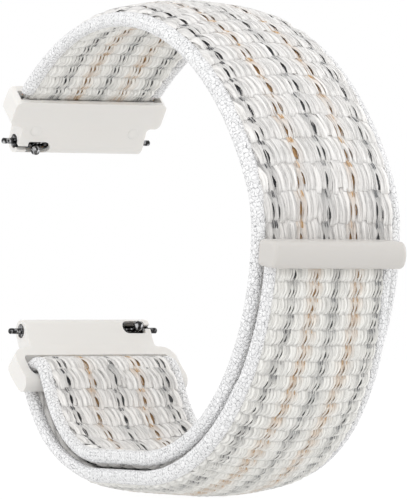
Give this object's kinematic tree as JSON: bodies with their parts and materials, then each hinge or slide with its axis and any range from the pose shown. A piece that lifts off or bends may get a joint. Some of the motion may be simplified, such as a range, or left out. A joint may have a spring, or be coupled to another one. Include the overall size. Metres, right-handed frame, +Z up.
{
  "type": "nylon watch strap",
  "caption": "Woven nylon watch strap closed to a loop: hook-and-loop flap with moulded end cap, two moulded lug connectors with quick-release spring bars.",
  "frame": {"origin": "centre of the strap's bounding box in X and Y, at the underside of the flap that it stands on", "axes": "+X from the watch's side towards the end cap, +Y across the strap towards the lower bar's release end, +Z up from the flap's underside to the crown"},
  "size_m": [0.0762, 0.0262, 0.067],
  "materials": {
    "woven_white": "matte woven",
    "hook_white": "matte hook tape",
    "moulded_greige": "satin",
    "dark_steel": "polished, dark",
    "bright_steel": "polished"
  },
  "bodies": {
    "strap": {"strap_loop": "woven_white", "strap_fold": "woven_white", "flap_lower": "woven_white", "upper_connector": "moulded_greige", "strap_anchor_rod": "bright_steel"},
    "flap_middle": {"flap_middle": "woven_white"},
    "flap_tip": {"flap_tip": "woven_white", "hook_patch": "hook_white", "end_cap": "moulded_greige"},
    "lower_connector": {"lower_connector": "moulded_greige"},
    "upper_spring_bar": {"upper_bar_barrel": "dark_steel", "upper_bar_fixed_pin": "bright_steel", "upper_bar_spring": "bright_steel"},
    "upper_release": {"upper_bar_release_pin": "bright_steel", "upper_bar_release_knob": "bright_steel"},
    "lower_spring_bar": {"lower_bar_barrel": "dark_steel", "lower_bar_fixed_pin": "bright_steel", "lower_bar_spring": "bright_steel"},
    "lower_release": {"lower_bar_release_pin": "bright_steel", "lower_bar_release_knob": "bright_steel"}
  },
  "joints": [
    {"name": "flap_middle_peel", "type": "hinge", "parent": "strap", "child": "flap_middle", "pos_m": [0.01223, 0, 0.00151], "axis": [0, 1, 0], "range_deg": [0, 60]},
    {"name": "flap_tip_peel", "type": "hinge", "parent": "flap_middle", "child": "flap_tip", "pos_m": [0.02907, 0, 0.0135], "axis": [0, 1, 0], "range_deg": [0, 110]},
    {"name": "lower_connector_pivot", "type": "hinge", "parent": "strap", "child": "lower_connector", "pos_m": [-0.02866, 0, 0.01484], "axis": [0, 1, 0], "range_deg": [-30, 60]},
    {"name": "upper_bar_swivel", "type": "hinge", "parent": "strap", "child": "upper_spring_bar", "pos_m": [-0.03654, 0, 0.04898], "axis": [0, 1, 0], "range_deg": [-6, 6]},
    {"name": "lower_bar_swivel", "type": "hinge", "parent": "lower_connector", "child": "lower_spring_bar", "pos_m": [-0.03445, 0, 0.02195], "axis": [0, 1, 0], "range_deg": [-6, 6]},
    {"name": "upper_release_slide", "type": "slide", "parent": "upper_spring_bar", "child": "upper_release", "axis": [0, 1, 0], "range_m": [0, 0.0014], "stiffness_N_per_m": 200, "springref_m": -0.002, "deforming": ["upper_bar_spring"]},
    {"name": "lower_release_slide", "type": "slide", "parent": "lower_spring_bar", "child": "lower_release", "axis": [0, -1, 0], "range_m": [0, 0.0014], "stiffness_N_per_m": 200, "springref_m": -0.002, "deforming": ["lower_bar_spring"]}
  ]
}
